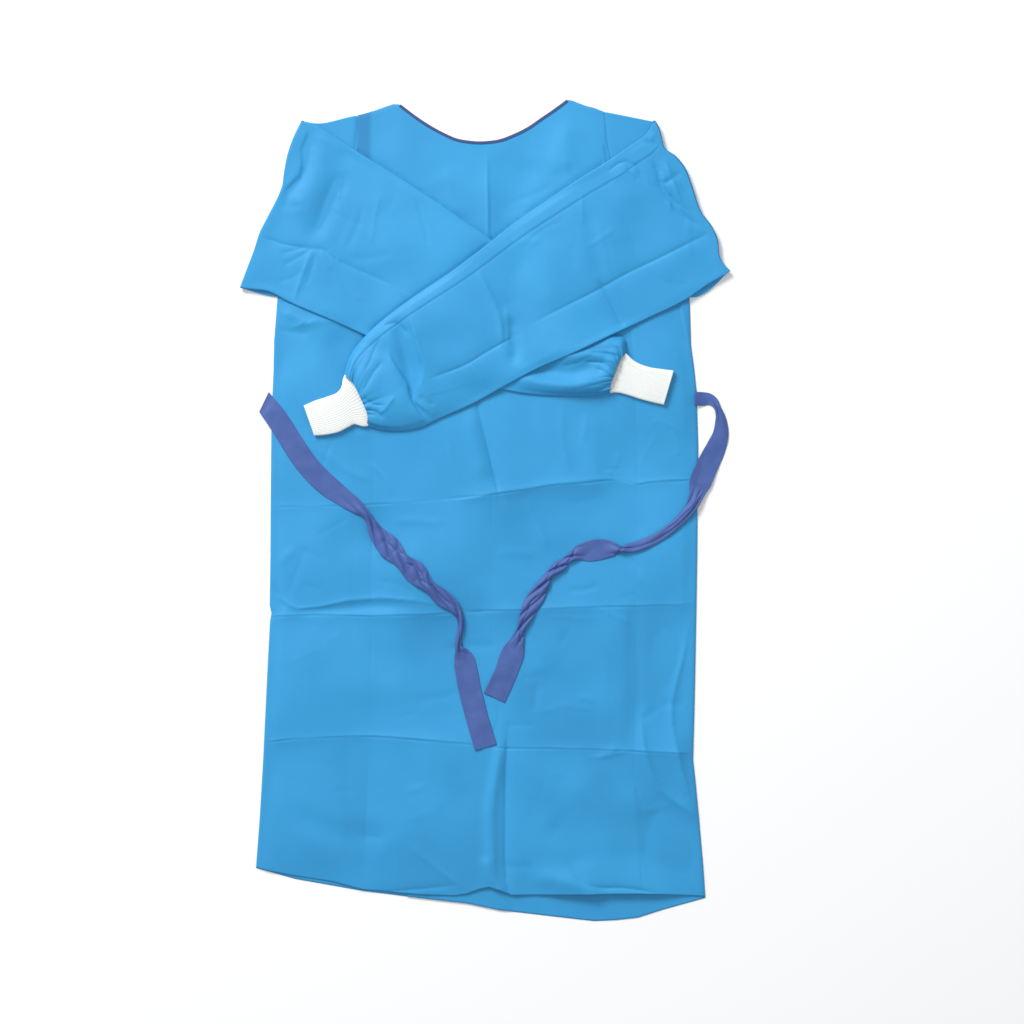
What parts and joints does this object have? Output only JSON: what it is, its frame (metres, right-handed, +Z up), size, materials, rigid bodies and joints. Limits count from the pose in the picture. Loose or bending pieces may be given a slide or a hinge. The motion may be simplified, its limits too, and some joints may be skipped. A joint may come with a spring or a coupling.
{
  "type": "surgical gown",
  "caption": "Long-sleeved surgical gown laid flat, front up, with crossed sleeves, knitted cuffs, a bound neck and waist ties.",
  "frame": {"origin": "centre of the gown's outline, on the surface it lies on", "axes": "+Y towards the neck, +Z up through the front, +X to the right of someone looking down on the front"},
  "size_m": [0.7153, 1.2, 0.0227],
  "materials": {
    "gown_cloth": "matt non-woven with a faint sheen",
    "cuff_knit": "matt rib knit",
    "tape": "matt non-woven tape"
  },
  "bodies": {
    "root": {"front": "gown_cloth", "back_left": "gown_cloth", "back_right": "gown_cloth", "sleeve_left": "gown_cloth", "sleeve_right": "gown_cloth", "cuff_left": "cuff_knit", "cuff_right": "cuff_knit", "neck_binding_front": "tape", "neck_binding_back_left": "tape", "neck_binding_back_right": "tape", "tie_left": "tape", "tie_right": "tape"}
  },
  "joints": []
}
